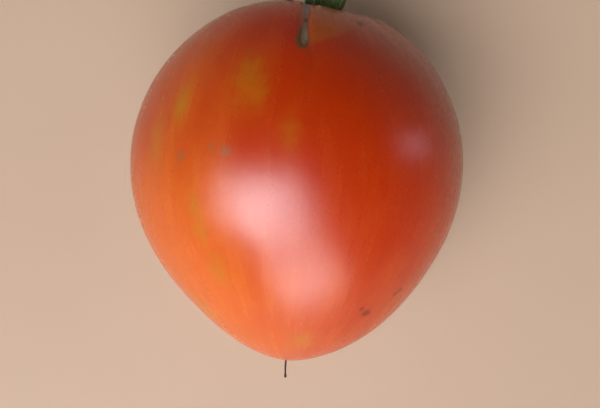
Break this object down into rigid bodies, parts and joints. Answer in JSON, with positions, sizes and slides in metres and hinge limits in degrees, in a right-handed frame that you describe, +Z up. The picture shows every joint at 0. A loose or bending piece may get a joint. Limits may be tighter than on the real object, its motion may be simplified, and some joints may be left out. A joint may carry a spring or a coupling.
{
  "type": "tomato",
  "caption": "Heart-shaped ripe tomato as picked, lying on its side, with its green calyx and bent stalk and a dried style on the blossom tip.",
  "frame": {"origin": "centre of the small flat spot that the fruit rests on, on the surface under it", "axes": "+Z up; +Y along the fruit from its blossom tip towards its stalk, seen from above; +X to the right of the fruit when its stalk end points away"},
  "size_m": [0.0936, 0.1214, 0.0866],
  "materials": {
    "skin": "smooth waxy skin with a soft shine",
    "green": "dull, finely hairy leaf and stalk",
    "dried": "dry brown thread"
  },
  "bodies": {
    "root": {"fruit": "skin", "calyx": "green", "dried_style": "dried"}
  },
  "joints": []
}
